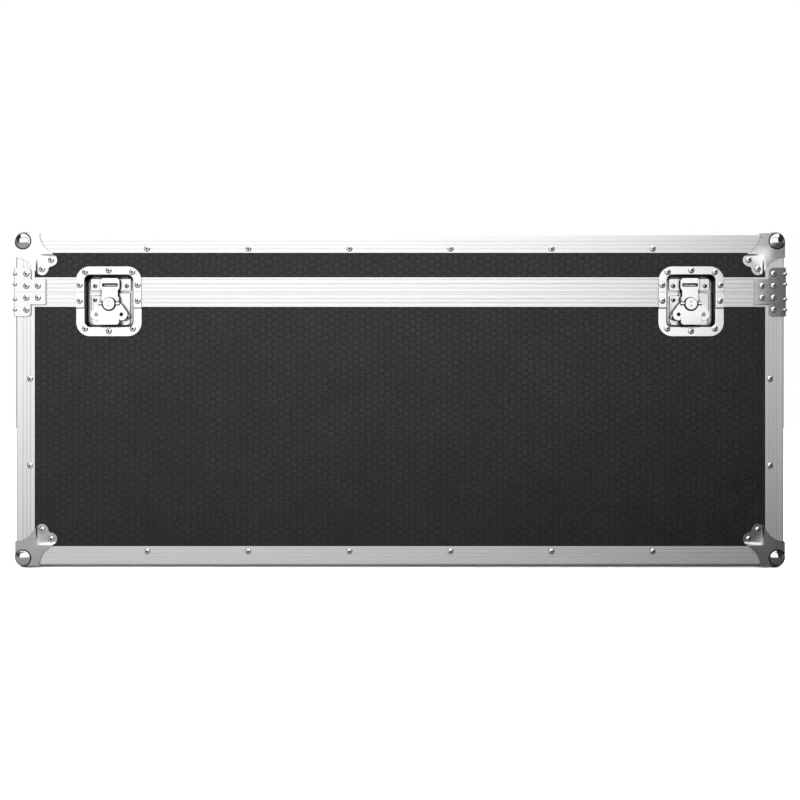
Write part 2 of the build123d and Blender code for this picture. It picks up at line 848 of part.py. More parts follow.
brace_front_plane = Plane(origin=(-half_w, -half_d, part_z), x_dir=(1, 0, 0), z_dir=(0, -1, 0))
brace_side_plane = Plane(origin=(-half_w, -half_d, part_z), x_dir=(0, 1, 0), z_dir=(1, 0, 0))
with BuildPart() as brace_rib:
    Cylinder(brace_rib_r, brace_rib_h)
    fillet(brace_rib.edges().filter_by(GeomType.CIRCLE), brace_rib_edge_r)

with BuildPart() as lid_brace:
    with BuildSketch(brace_front_plane) as brace_front:
        brace_outline()
        chamfer(brace_front.vertices().group_by(Axis.Y)[-1].sort_by(Axis.X)[-1], brace_chamfer)
    extrude(amount=brace_t)
    with BuildSketch(brace_side_plane) as brace_side:
        brace_outline()
        chamfer(brace_side.vertices().group_by(Axis.Y)[-1].sort_by(Axis.X)[-1], brace_chamfer)
    extrude(amount=-brace_t)
    outer_edges = lid_brace.edges().filter_by(Axis.Z).group_by(Axis.X)[0]
    fillet(outer_edges.sort_by(Axis.Y)[0], brace_bend_r)
    bend_x = -half_w - brace_rib_out
    bend_y = -half_d - brace_rib_out
    with Locations(*[(bend_x, bend_y, part_z + up) for up in (brace_side_row, brace_low_row)]):
        add(brace_rib.part)
    block((-half_w, -half_d, part_z), (brace_arm - half_w, brace_arm - half_d, part_z + brace_h),
          mode=Mode.SUBTRACT)

with BuildPart() as lid_corner_braces:
    add(lid_brace.part)
    mirror(about=Plane.YZ)
    mirror(about=Plane.XZ)
    drill(lid_brace_planes)
finish(lid_corner_braces, "lid_corner_braces")

with BuildPart() as base_corner_braces:
    mirror(lid_brace.part, about=Plane.XY.offset(part_z))
    mirror(about=Plane.YZ)
    mirror(about=Plane.XZ)
    drill(base_brace_planes)
finish(base_corner_braces, "base_corner_braces")

# Rivets of the case
ear_grip = shank - wall + corner_t
for half, edge_planes, corner_planes, braces in (
        ("base", base_edge_planes, base_corner_planes, base_brace_planes),
        ("lid", lid_edge_planes, lid_corner_planes, lid_brace_planes)):
    with BuildPart() as edge_rivets:
        set_rivets(edge_planes, shank)
    finish(edge_rivets, f"{half}_edge_rivets")

    with BuildPart() as corner_rivets:
        set_rivets(corner_planes, ear_grip)
    finish(corner_rivets, f"{half}_corner_rivets")

    with BuildPart() as brace_rivets:
        set_rivets(braces, shank + brace_t)
    finish(brace_rivets, f"{half}_brace_rivets")


# Latch dish: a flange that lies over the rails, steps down to the panel below them, and a sunk pan
def dish_outline():
    with Locations((0, dish_top)):
        RectangleRounded(dish_w, dish_top + dish_bottom, dish_r, align=hang)


# Its side, as (y, z) points from the top down: the flange's front, then the same on its back
flange_y = -half_d - dish_t
flange_front = [
    (flange_y, part_z + dish_w),
    (flange_y, part_z - dish_joggle),
    (flange_y + wall, part_z - dish_joggle - dish_joggle_w),
    (flange_y + wall, part_z - dish_w),
]
flange_back = [(y + dish_t, z) for y, z in reversed(flange_front)]
pan_y = -half_d + dish_depth - dish_t
with BuildPart() as latch_pan:
    with BuildSketch(Plane.YZ):
        with BuildLine():
            Polyline(*flange_front, (pan_y, part_z - dish_w), (pan_y, part_z + dish_w), close=True)
        make_face()
    extrude(amount=dish_w, both=True)
    with BuildSketch(latch):
        with Locations((0, open_top + dish_t)):
            RectangleRounded(open_w + 2 * dish_t, open_top + open_bottom + 2 * dish_t,
                             open_r + dish_t, align=hang)
    extrude(amount=2 * dish_depth, both=True, mode=Mode.INTERSECT)


def on_rim(edge):
    """Whether an edge of the dish goes round its opening's front."""
    middle = edge.center() + Vector(0, half_d, -part_z)
    depth = wall if middle.Z < -dish_joggle else 0
    near = dish_t / 2
    in_front = abs(middle.X) < open_w / 2 + near and middle.Y < depth - near
    return in_front and -open_bottom - near < middle.Z < open_top + near


with BuildPart() as latch_dish:
    with BuildSketch(Plane.YZ):
        with BuildLine():
            Polyline(*flange_front, *flange_back, close=True)
        make_face()
    extrude(amount=dish_w, both=True)
    with BuildSketch(latch):
        dish_outline()
    extrude(amount=2 * dish_depth, both=True, mode=Mode.INTERSECT)
    add(latch_pan.part)
    with BuildSketch(at_depth(0)):
        with Locations((0, open_top)):
            RectangleRounded(open_w, open_top + open_bottom, open_r, align=hang)
    extrude(amount=2 * dish_depth, mode=Mode.SUBTRACT)
    fillet(latch_dish.edges().filter_by(on_rim), dish_rim_r)

with BuildPart() as latch_dishes:
    with Locations((-latch_x, 0, 0), (latch_x, 0, 0)):
        add(latch_dish.part)

with BuildPart() as latch_lid_dishes:
    add(latch_dishes.part)
    split(bisect_by=Plane.XY.offset(part_z + half_gap), keep=Keep.TOP)
    drill(lid_dish_planes + keeper_planes)
finish(latch_lid_dishes, "latch_lid_dishes")

with BuildPart() as latch_base_dishes:
    add(latch_dishes.part)
    split(bisect_by=Plane.XY.offset(part_z - half_gap), keep=Keep.BOTTOM)
    drill(base_dish_planes + base_dish_low_planes + plate_planes)
finish(latch_base_dishes, "latch_base_dishes")

# Keeper on the dish's lid half, with the nose that stands in the claw's window
with BuildPart() as keeper:
    with BuildSketch(latch.offset(-dish_floor_in)):
        with Locations((0, keeper_low)):
            RectangleRounded(keeper_w, keeper_high - keeper_low, keeper_r, align=stand)
    extrude(amount=keeper_t)
    with BuildSketch(at_depth(keeper_t)):
        with Locations((0, nose_up)):
            Rectangle(nose_w, nose_t, align=stand)
    extrude(amount=nose_height)
    fillet(keeper.faces().sort_by(Axis.Y)[0].edges(), nose_edge_r)

with BuildPart() as latch_keepers:
    with Locations((-latch_x, 0, 0), (latch_x, 0, 0)):
        add(keeper.part)
    drill(keeper_planes)
finish(latch_keepers, "latch_keepers")

# Base plate, with a tall guide on each side of the claw, which passes over the keeper's nose
claw_q = keeper_t + nose_height + claw_gap
guide_in = claw_w / 2 + guide_play
with BuildPart() as base_plate:
    with BuildSketch(at_depth(0)) as plate_outline:
        with BuildLine():
            Polyline((-base_plate_w / 2, -base_plate_bottom), (base_plate_w / 2, -base_plate_bottom),
                     (base_plate_w / 2, -base_plate_right_top), (-base_plate_step_x, -base_plate_right_top),
                     (-base_plate_step_x, -base_plate_left_top),
                     (-base_plate_w / 2, -base_plate_left_top), close=True)
        make_face()
        fillet(plate_outline.vertices().group_by(Axis.Y)[0], base_plate_r)
    extrude(amount=base_plate_t)
    with BuildSketch(at_depth(base_plate_t)):
        for side in (-1, 1):
            with Locations((side * (guide_in + guide_t / 2), -guide_high)):
                Rectangle(guide_t, guide_low - guide_high, align=hang)
    extrude(amount=claw_q + claw_t - base_plate_t)
    with Locations(at_knob(0)):
        Cylinder(spindle_r + spindle_play, 4 * base_plate_t, mode=Mode.SUBTRACT)

with BuildPart() as latch_base_plates:
    with Locations((-latch_x, 0, 0), (latch_x, 0, 0)):
        add(base_plate.part)
    drill(plate_planes)
finish(latch_base_plates, "latch_base_plates")

# Claw: a flat strap with a window over the nose and a slot round the knob's eccentric
throw = claw_travel / 2
eccentric_down = knob_drop + throw
with BuildPart() as claw:
    with BuildSketch(at_depth(claw_q)) as claw_outline:
        with BuildLine():
            Polyline((0, -claw_bottom), (claw_w / 2, -claw_bottom), (claw_w / 2, claw_neck),
                     (claw_head_w / 2, claw_shoulder), (claw_head_w / 2, claw_top), (0, claw_top), close=True)
        make_face()
        mirror(about=Plane.YZ)
        chamfer(claw_outline.vertices().group_by(Axis.Y)[-1], claw_clip)
        with Locations((0, claw_window_at)):
            Rectangle(*claw_window, mode=Mode.SUBTRACT)
        with Locations((0, -eccentric_down)):
            RectangleRounded(2 * (eccentric_r + throw + slot_play), 2 * (eccentric_r + slot_play),
                             eccentric_r, mode=Mode.SUBTRACT)
    extrude(amount=claw_t)

# Knob: spindle, eccentric and boss in one, with the wing pin's bore across it
knob_front = dish_floor_in + dish_t + boss_proud
eccentric_top = claw_q + claw_t + claw_gap
wing_axis = Plane(origin=at_knob(wing_pin_depth).origin, z_dir=(1, 0, 0))
with BuildPart() as knob:
    with BuildSketch(at_knob(claw_gap / 4)):
        Circle(spindle_r)
    extrude(amount=base_plate_t)
    with BuildSketch(at_knob(base_plate_t + claw_gap / 4)):
        with Locations((0, -throw)):
            Circle(eccentric_r)
    extrude(amount=eccentric_top - base_plate_t)
    with BuildSketch(at_knob(eccentric_top)):
        Circle(boss_r)
    extrude(amount=knob_front - eccentric_top)
    chamfer(knob.faces().sort_by(Axis.Y)[0].edges(), boss_chamfer)
    with BuildSketch(at_knob(knob_front)):
        with Locations((0, dimple_at), (0, -dimple_at)):
            Circle(dimple_r)
    extrude(amount=-dimple_depth, mode=Mode.SUBTRACT)
    with Locations(wing_axis):
        Cylinder(wing_pin_r + wing_pin_play, 4 * boss_r, mode=Mode.SUBTRACT)

with BuildPart() as wing_pin:
    with Locations(wing_axis):
        Cylinder(wing_pin_r, 2 * wing_ear_out + wing_t)

# Wing: two lobes about the boss and a finger tab that tilts out, hinged by its ears on the pin
wing_low_q = wing_pin_depth - wing_t / 2
lobe_side_x = wing_lobe_x + wing_lobe_r * cos(radians(wing_tangent))
lobe_side_y = wing_lobe_r * sin(radians(wing_tangent)) - wing_lobe_down
tilt = radians(tab_tilt)
tab_root = at_knob(wing_low_q).origin - Vector(0, 0, wing_skirt - wing_t)
with BuildPart() as wing:
    with BuildSketch(at_knob(wing_low_q)):
        with BuildLine():
            Polyline((0, 0), (wing_shoulder, 0), (lobe_side_x, lobe_side_y), (wing_lobe_x, -wing_lobe_down),
                     (wing_lobe_x - wing_hole_r, -wing_skirt), (0, -wing_skirt), close=True)
        make_face()
        mirror(about=Plane.YZ)
        with Locations((-wing_lobe_x, -wing_lobe_down), (wing_lobe_x, -wing_lobe_down)):
            Circle(wing_lobe_r)
            Circle(wing_hole_r, mode=Mode.SUBTRACT)
        Circle(wing_cut_r, mode=Mode.SUBTRACT)
    extrude(amount=wing_t)
    with BuildSketch(Plane(origin=tab_root, x_dir=(1, 0, 0), z_dir=(0, -cos(tilt), sin(tilt)))) as tab:
        Rectangle(tab_w, (tab_down - wing_skirt + wing_t) / cos(tilt), align=hang)
        fillet(tab.vertices().group_by(Axis.Y)[0], tab_r)
    extrude(amount=wing_t)
    ear_length = wing_ear_out - wing_ear_in
    for side in (-1, 1):
        with Locations(wing_axis.offset(side * (wing_ear_in + ear_length / 2))):
            Cylinder(wing_ear_r, ear_length)
    with Locations(wing_axis):
        Cylinder(wing_pin_r + wing_pin_play, 2 * wing_ear_out + wing_t, mode=Mode.SUBTRACT)

for side, x in (("left", -latch_x), ("right", latch_x)):
    for shape, name in ((knob, "knob"), (wing_pin, "wing_pin"), (wing, "wing"), (claw, "claw")):
        with BuildPart() as moving:
            with Locations((x, 0, 0)):
                add(shape.part)
        finish(moving, f"latch_{name}_{side}")

# Rivets of the latches
sunk_dish_grip = shank - wall + dish_t
with BuildPart() as latch_lid_rivets:
    set_rivets(lid_dish_planes, shank + dish_t)
    set_rivets(keeper_planes, keeper_t + dish_t, small_head_r)
finish(latch_lid_rivets, "latch_lid_rivets")

with BuildPart() as latch_base_rivets:
    set_rivets(base_dish_planes, shank + dish_t)
    set_rivets(base_dish_low_planes, sunk_dish_grip)
    set_rivets(plate_planes, base_plate_t + dish_t, small_head_r)
finish(latch_base_rivets, "latch_base_rivets")

# Rear hinges: each leaf lies on a rail and steps down to the panel beyond it
hinge_y = half_d + hinge_out
mid_half = hinge_mid_w / 2
clear_r = hinge_r + 2 * hinge_play


def leaf(sign):
    """A leaf above (+1) or below (-1) the parting line, before its barrels."""
    def band(x, y, near, far, mode=Mode.ADD):
        z = sorted((part_z + sign * near, part_z + sign * far))
        block((x[0], y[0], z[0]), (x[1], y[1], z[1]), mode)
    full = (-hinge_w / 2, hinge_w / 2)
    band(full, (half_d, half_d + hinge_t), half_gap, hinge_joggle)
    band(full, (half_d - wall, half_d + hinge_t), hinge_joggle - hinge_t, hinge_joggle)
    band(full, (half_d - wall, half_d - wall + hinge_t), hinge_joggle - hinge_t, hinge_reach)


def barrel(x0, x1, sign):
    """A stretch of hinge barrel with the web that joins it to its leaf."""
    z = sorted((part_z + sign * half_gap, part_z + sign * hinge_r))
    block((x0, half_d, z[0]), (x1, hinge_y, z[1]))
    with Locations(Plane(origin=((x0 + x1) / 2, hinge_y, part_z), z_dir=(1, 0, 0))):
        Cylinder(hinge_r, x1 - x0)


def hinge_bore():
    with Locations(Plane(origin=(0, hinge_y, part_z), z_dir=(1, 0, 0))):
        Cylinder(hinge_pin_r + hinge_pin_play, 2 * hinge_w, mode=Mode.SUBTRACT)


with BuildPart() as base_leaf:
    leaf(-1)
    for side in (-1, 1):
        x = sorted((side * mid_half, side * hinge_w))
        block((x[0], half_d - wall, part_z - clear_r), (x[1], hinge_y, part_z), mode=Mode.SUBTRACT)
    barrel(-mid_half, mid_half, -1)
    hinge_bore()

with BuildPart() as lid_leaf:
    leaf(1)
    notch_half = mid_half + hinge_play
    block((-notch_half, half_d - wall, part_z), (notch_half, hinge_y, part_z + clear_r), mode=Mode.SUBTRACT)
    barrel(-hinge_w / 2, -notch_half, 1)
    barrel(notch_half, hinge_w / 2, 1)
    hinge_bore()

with BuildPart() as hinge_pin:
    with Locations(Plane(origin=(0, hinge_y, part_z), z_dir=(1, 0, 0))):
        Cylinder(hinge_pin_r, hinge_w + hinge_pin_head)
        head_at = (hinge_w + hinge_pin_head) / 2 + hinge_pin_play
        with Locations((0, 0, head_at), (0, 0, -head_at)):
            Cylinder(hinge_r - hinge_play, hinge_pin_head)

hinge_places = [(x, 0, 0) for x in (-hinge_x, 0, hinge_x)]
with BuildPart() as hinge_base_leaves:
    with Locations(*hinge_places):
        add(base_leaf.part)
    drill(base_hinge_near + base_hinge_far)
finish(hinge_base_leaves, "hinge_base_leaves")

with BuildPart() as hinge_lid_leaves:
    with Locations(*hinge_places):
        add(lid_leaf.part)
    drill(lid_hinge_near + lid_hinge_far)
finish(hinge_lid_leaves, "hinge_lid_leaves")

with BuildPart() as hinge_pins:
    with Locations(*hinge_places):
        add(hinge_pin.part)
finish(hinge_pins, "hinge_pins")

for half, near, far in (("base", base_hinge_near, base_hinge_far), ("lid", lid_hinge_near, lid_hinge_far)):
    with BuildPart() as hinge_rivets:
        set_rivets(near, shank + hinge_t)
        set_rivets(far, shank - wall + hinge_t)
    finish(hinge_rivets, f"hinge_{half}_rivets")

# End handles: x is along the case's depth and y up, out of the right-hand end
handle = Plane(origin=(half_w, 0, handle_z), x_dir=(0, 1, 0), z_dir=(1, 0, 0))
handle_back = wall - dish_t + handle_depth
handle_floor = handle_back - dish_t
with BuildPart() as handle_dishes:
    with BuildSketch(handle.offset(-wall)):
        RectangleRounded(handle_open_w + 2 * handle_flange_w, handle_open_h + 2 * handle_flange_h,
                         handle_dish_r)
    extrude(amount=dish_t)
    with BuildSketch(handle.offset(-handle_back)):
        RectangleRounded(handle_open_w + 2 * dish_t, handle_open_h + 2 * dish_t, handle_open_r + dish_t)
    extrude(amount=handle_depth)
    with BuildSketch(handle.offset(-handle_floor)):
        RectangleRounded(handle_open_w, handle_open_h, handle_open_r)
    extrude(amount=handle_depth, mode=Mode.SUBTRACT)
    mirror(about=Plane.YZ)
    drill(handle_planes)
finish(handle_dishes, "handle_dishes")

with BuildPart() as handle_rivets:
    set_rivets(handle_planes, sunk_dish_grip)
finish(handle_rivets, "handle_rivets")

pivot_z = handle_z + handle_half_h - handle_pivot_down
bracket_y = handle_half_w - bracket_in
bail_arm_y = handle_half_w - bail_arm_in
bail_end = handle_half_w - bail_end_play
with BuildPart() as handle_brackets:
    with BuildSketch(Plane.XZ.offset(-bracket_y - bracket_t / 2)):
        with Locations((half_w - bail_in, pivot_z)):
            Circle(bracket_r)
            Rectangle(handle_floor - bail_in, 2 * bracket_r, align=(Align.MAX, Align.CENTER))
            Circle(bail_r + bracket_play, mode=Mode.SUBTRACT)
    extrude(amount=bracket_t)
    mirror(about=Plane.XZ)
    mirror(about=Plane.YZ)
finish(handle_brackets, "handle_brackets")

coil_r = bail_r + spring_play + spring_wire_r
coil_pitch = 2 * spring_wire_r - spring_play / 4
coil_y = (bail_arm_y + bail_bend + bracket_y - bracket_t / 2) / 2
with BuildPart() as handle_springs:
    with BuildSketch(Plane(origin=(half_w - bail_in, coil_y, pivot_z), x_dir=(0, 1, 0), z_dir=(1, 0, 0))):
        with Locations(*[(y, coil_r) for y in row(spring_turns, coil_pitch)]):
            Circle(spring_wire_r)
    revolve(axis=Axis((half_w - bail_in, 0, pivot_z), (0, 1, 0)))
    with BuildSketch(Plane(origin=(half_w - handle_floor, coil_y, pivot_z - coil_r), z_dir=(1, 0, 0))):
        Circle(spring_wire_r)
    extrude(amount=handle_floor - bail_in)
    mirror(about=Plane.XZ)
    mirror(about=Plane.YZ)
finish(handle_springs, "handle_springs")

bar_z = pivot_z - bail_drop
grip_l = 2 * (bail_arm_y - grip_end)
for side, sign in (("left", -1), ("right", 1)):
    bail_plane = Plane(origin=(sign * (half_w - bail_in), 0, 0), x_dir=(0, 1, 0), z_dir=(1, 0, 0))
    with BuildPart() as bail:
        with BuildLine(bail_plane):
            FilletPolyline((-bail_end, pivot_z), (-bail_arm_y, pivot_z), (-bail_arm_y, bar_z),
                           (bail_arm_y, bar_z), (bail_arm_y, pivot_z), (bail_end, pivot_z),
                           radius=bail_bend)
        with BuildSketch(Plane(origin=(sign * (half_w - bail_in), -bail_end, pivot_z), z_dir=(0, 1, 0))):
            Circle(bail_r)
        sweep()
    finish(bail, f"handle_bail_{side}")

    with BuildPart() as grip:
        with Locations(Plane(origin=(sign * (half_w - bail_in), 0, bar_z), z_dir=(0, 1, 0))):
            Cylinder(grip_r, grip_l)
        fillet(grip.edges(), grip_edge_r)
        with Locations(Plane(origin=(sign * (half_w - bail_in), 0, bar_z), z_dir=(0, 1, 0))):
            Cylinder(bail_r + grip_play, grip_l, mode=Mode.SUBTRACT)
    finish(grip, f"handle_grip_{side}")
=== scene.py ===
import json
from math import cos, pi, radians, sin, sqrt

import bmesh
import bpy
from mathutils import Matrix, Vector


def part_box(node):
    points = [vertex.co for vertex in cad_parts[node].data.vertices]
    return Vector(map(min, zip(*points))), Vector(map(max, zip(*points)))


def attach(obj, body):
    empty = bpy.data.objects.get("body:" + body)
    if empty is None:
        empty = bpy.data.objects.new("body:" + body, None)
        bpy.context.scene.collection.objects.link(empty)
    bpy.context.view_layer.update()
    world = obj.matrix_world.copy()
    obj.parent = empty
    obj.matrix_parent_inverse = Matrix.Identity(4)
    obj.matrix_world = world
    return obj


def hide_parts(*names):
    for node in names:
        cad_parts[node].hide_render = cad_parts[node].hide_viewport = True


# A flight case, seen square on from the front. Metres, in the frame of its solids: +X to the
# right, -Y towards the camera, +Z up, the origin on the floor under the middle of the case.
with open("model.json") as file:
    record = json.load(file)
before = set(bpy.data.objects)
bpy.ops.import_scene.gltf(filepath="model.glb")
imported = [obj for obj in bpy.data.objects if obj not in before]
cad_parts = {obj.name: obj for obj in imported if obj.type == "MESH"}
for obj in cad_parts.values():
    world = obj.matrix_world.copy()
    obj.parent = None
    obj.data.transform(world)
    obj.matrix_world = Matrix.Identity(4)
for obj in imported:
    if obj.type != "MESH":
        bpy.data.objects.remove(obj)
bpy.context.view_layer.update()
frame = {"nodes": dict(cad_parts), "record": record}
nodes = frame["nodes"]
bpy.ops.object.select_all(action="DESELECT")

# Camera: level and square on, with the view's width measured in the plane of the case's front
camera_away = 1.44
view_width = 1.2813
view_height = 0.2697
sensor = 36.0

# Lights: a wide window in front, to the left, and a softbox overhead
window_size = (6.0, 3.2)
window_middle = (-1.24, -3.3, 1.62)
window_light = 1.23
softbox_size = (3.2, 1.8)
softbox_middle = (0.0, -0.75, 1.95)
softbox_light = 1.7

# Surroundings: how bright they are in gloss and on dull surfaces, and what their sides add
gloss_level = 0.03
gloss_behind = 0.8
gloss_ends = 0.2
soft_level = 0.28
soft_behind = 0.5

# Floor: its tone, how much whiter the camera sees it, and how much darker gloss does
floor_size = 14.0
floor_tone = 0.42
floor_whiter = 4.0
floor_darker = 0.02

# The dark flag that gloss finds on the floor in front. It sets in along x, and along y it is
# whole as far as its core on both sides of its middle, and ends at its reach.
flag_depth = 0.32
flag_from = -0.4
flag_full = 0.8
flag_middle = -1.0
flag_core = 0.7
flag_reach = 1.3

# The case over its extrusions, half its length and half its depth
case_half = (0.615, 0.265)

# Edges: how far they are rounded, which folds are edges, and which are shaded smooth
edge_softness = 0.00035
edge_segments = 2
crease_angle = radians(35)
smooth_angle = radians(32)
coil_smooth_angle = radians(40)
flat_weight = 100
weld_reach = 0.000002

# Laminate: the length of its hexagons' sides, half the width of a groove, and its tones
hex_radius = 0.00667
hex_line = 0.0012
speck_dark = 0.0006
speck_light = 0.018
groove_dark = 0.0015
groove_cover = 0.92
laminate_relief = 0.00012

# Aluminium, with painted shade on its rounded upright edges and in its crevices
streak_squash = 0.02
drawn_dark = 0.88
drawn_light = 1.0
drawn_edge_shade = 0.06
drawn_crevice_shade = 0.3
drawn_relief = 0.00002

# Plating, with the tones of painted shade on pressings' sides and in crevices
plating_side_shade = 0.1
plating_crevice_shade = 0.015
plating_relief = 0.00001
crevice_samples = 8

# Ball corners: their plates, with painted shade on their upright edges, the balls, and a ring of painted
# shade at the balls' roots
corner_dark = 0.74
corner_light = 0.88
corner_edge_shade = 0.05
corner_roughness = 0.14
ball_middle = (0.6037, 0.2537)
ball_low = 0.0168
ball_high = 0.5242
ball_reach = 0.0173
ball_root_reach = 0.0186
ball_tone = 0.75
ball_roughness = 0.05
root_shade_tone = 0.02

# Latches
pin_shorter = 0.99
pin_thinner = 0.97

# End handles: the grip, and the half widths of its grooves at their rims and floors
grip_r = 0.0054
grip_half = 0.042
grip_middle = (0.6089, 0.2275)
groove_pitch = 0.007
groove_rim = 0.0016
groove_floor = 0.00096
groove_scale = 0.87
skin_share = 0.9
level_slack = 0.00005

# Handle springs, with the middle of the right back one
coil_middle = (0.6089, 0.063, 0.2895)
coil_r = 0.00475
coil_pitch = 0.00175
coil_turns = 2.25
coil_points = 20
coil_floor = 0.6029
wire_r = 0.0009
wire_roundness = 2

# Rivets: the corners inside the mandrel's reach are its broken end, which is drawn wider and painted near
# black, a painted shade of the hole
rivet_softness = 0.00012
mandrel_reach = 0.0013
mandrel_spread = 1.45
mandrel_slot = 1

# Foam and rubber
foam_softness = 0.001
foam_segments = 3
foam_dark = 0.006
foam_light = 0.03
foam_relief = 0.0004
rubber_dark = 0.012
rubber_light = 0.024
rubber_relief = 0.00005


class Number:
    """A number on its way through a material's nodes: arithmetic on it adds Math nodes."""

    def __init__(self, tree, link):
        self.tree = tree
        self.link = link

    def math(self, operation, *terms):
        node = self.tree.nodes.new("ShaderNodeMath")
        node.operation = operation
        for place, term in enumerate(terms):
            if isinstance(term, Number):
                self.tree.links.new(term.link, node.inputs[place])
            else:
                node.inputs[place].default_value = term
        return Number(self.tree, node.outputs[0])

    def __add__(self, other):
        return self.math("ADD", self, other)

    def __sub__(self, other):
        return self.math("SUBTRACT", self, other)

    def __rsub__(self, other):
        return self.math("SUBTRACT", other, self)

    def __mul__(self, other):
        return self.math("MULTIPLY", self, other)

    def __lt__(self, other):
        return self.math("LESS_THAN", self, other)

    def __abs__(self):
        return self.math("ABSOLUTE", self)

    __radd__ = __add__
    __rmul__ = __mul__

    def least(self, other):
        return self.math("MINIMUM", self, other)

    def most(self, other):
        return self.math("MAXIMUM", self, other)

    def from_nearest(self, spacing):
        """How far it is from the nearest multiple of the spacing."""
        return self.math("PINGPONG", self, spacing / 2)


class Finish:
    """The look of a material or of the world, made of nodes."""

    def __init__(self, owner):
        owner.use_nodes = True
        self.owner = owner
        self.tree = owner.node_tree

    def node(self, kind, settings=None, **sockets):
        """A node of a kind, with its settings and then what goes into its sockets."""
        node = self.tree.nodes.new("ShaderNode" + kind)
        for name, value in (settings or {}).items():
            setattr(node, name, value)
        for name, value in sockets.items():
            self.feed(node.inputs[name.replace("_", " ")], value)
        return node

    def feed(self, socket, value):
        """Link what varies to a socket, or set on it what doesn't."""
        if isinstance(value, Number):
            self.tree.links.new(value.link, socket)
        elif isinstance(value, bpy.types.NodeSocket):
            self.tree.links.new(value, socket)
        else:
            socket.default_value = value

    def number(self, socket):
        return Number(self.tree, socket)

    def spot(self):
        """The socket that says where a point is on the object."""
        return self.node("TexCoord").outputs["Object"]

    def parts(self, vector, axes="XYZ"):
        """A vector's parts along the axes, each one as a number."""
        apart = self.node("SeparateXYZ", Vector=vector)
        return [self.number(apart.outputs[axis]) for axis in axes]

    def facing(self):
        """How squarely the surface faces along each axis, from 0 to 1."""
        return [abs(part) for part in self.parts(self.node("TexCoord").outputs["Normal"])]

    def upright_edge_shade(self, low, high):
        """1 on a rounded upright edge, which faces along two axes at once, and 0 on flat faces: where edge
        shade is painted.
        """
        facing = self.facing()
        return self.between(facing[0] * facing[1], low, high)

    def painted_crevice_shade(self, reach, low=0.6, high=0.9):
        """1 in the open, and 0 down in corners, gaps and holes, where shade is painted."""
        open_sky = self.node("AmbientOcclusion", {"samples": crevice_samples}, Distance=reach)
        return self.between(self.number(open_sky.outputs["AO"]), low, high)

    def rays(self):
        """Two switches: 1 on the camera's own rays, and 1 on rays off gloss, or else 0."""
        paths = self.node("LightPath")
        return self.number(paths.outputs["Is Camera Ray"]), self.number(paths.outputs["Is Glossy Ray"])

    def stretched(self, spot, scale):
        return self.node("Mapping", {"vector_type": "POINT"}, Vector=spot, Scale=scale).outputs[0]

    def noise(self, spot, scale, detail=2.0, roughness=0.5):
        found = self.node("TexNoise", Vector=spot, Scale=scale, Detail=detail, Roughness=roughness)
        return self.number(found.outputs[0])

    def between(self, value, low, high):
        """The value's way from low to high, as 0 to 1 with soft ends."""
        found = self.node("MapRange", {"interpolation_type": "SMOOTHSTEP"})
        for socket, given in zip(found.inputs, (value, low, high)):
            self.feed(socket, given)
        return self.number(found.outputs[0])

    def mixed(self, share, first, second):
        """A colour between two others."""
        found = self.node("Mix", {"data_type": "RGBA"})
        self.feed(found.inputs[0], share)
        self.feed(found.inputs[6], first)
        self.feed(found.inputs[7], second)
        return found.outputs[2]

    def bump(self, height, distance, strength):
        return self.node("Bump", Height=height, Distance=distance, Strength=strength).outputs[0]

    def surface(self, **sockets):
        """Feed the main shader's sockets, and hand over the material."""
        shader = self.tree.nodes["Principled BSDF"]
        for name, value in sockets.items():
            self.feed(shader.inputs[name.replace("_", " ")], value)
        return self.owner


def grey(level):
    return (level, level, level, 1)


def laminate(name, across, up):
    """Charcoal laminate with a faint pattern of hexagons, laid along two axes."""
    finish = Finish(bpy.data.materials.new(name))
    spot = finish.spot()
    place = finish.parts(spot)
    column = 3 * hex_radius
    line = sqrt(3) * hex_radius

    def cell(shift):
        """How far out from the middle of its hexagon a point is, square to the nearest side."""
        a = (place[across] + shift * column).from_nearest(column)
        b = (place[up] + shift * line).from_nearest(line)
        return b.most(a * cos(pi / 6) + b * sin(pi / 6))

    out = cell(0.0).least(cell(0.5))
    groove = finish.between(out, low=line / 2 - hex_line, high=line / 2 - hex_line / 4)
    grain = finish.noise(spot, scale=900.0, detail=3.0, roughness=0.6)
    cloud = finish.noise(spot, scale=14.0)
    mottle = finish.noise(spot, scale=420.0)
    speck = finish.between(grain * 0.35 + mottle * 0.5 + cloud * 0.15, low=0.43, high=0.6)
    tone = finish.mixed(speck, grey(speck_dark), grey(speck_light))
    colour = finish.mixed(groove * groove_cover, tone, grey(groove_dark))
    height = grain * 0.35 - groove
    return finish.surface(Base_Color=colour, Roughness=0.37 + 0.12 * grain + 0.2 * groove,
                          Normal=finish.bump(height, laminate_relief, strength=0.5))


def aluminium(name, lengthways):
    """Drawn aluminium with fine streaks along its length: axis 0, 1 or 2, or None for a mitred ring."""
    finish = Finish(bpy.data.materials.new(name))
    spot = finish.spot()

    def streaks(axis):
        scale = [1.0, 1.0, 1.0]
        scale[axis] = streak_squash
        return finish.noise(finish.stretched(spot, scale), scale=700.0, detail=4.0, roughness=0.65)

    if lengthways is None:
        x, y = finish.parts(spot, "XY")
        along_x = (case_half[1] - abs(y)) < (case_half[0] - abs(x))
        streak = streaks(0) * along_x + streaks(1) * (1 - along_x)
    else:
        streak = streaks(lengthways)
    speckle = finish.noise(spot, scale=1500.0)
    cloud = finish.noise(spot, scale=9.0, detail=3.0)
    share = streak * 0.55 + speckle * 0.25 + cloud * 0.2
    colour = finish.mixed(share, grey(drawn_dark), grey(drawn_light))
    # Painted shade: darker on the rounded upright edges and down in crevices and grooves
    colour = finish.mixed(finish.upright_edge_shade(low=0.04, high=0.2), colour, grey(drawn_edge_shade))
    colour = finish.mixed(finish.painted_crevice_shade(reach=0.0025, low=0.3, high=0.8), grey(drawn_crevice_shade), colour)
    height = streak * 0.6 + speckle * 0.4
    return finish.surface(Base_Color=colour, Metallic=1.0, Roughness=0.33 + 0.2 * streak,
                          Normal=finish.bump(height, drawn_relief, strength=0.5))


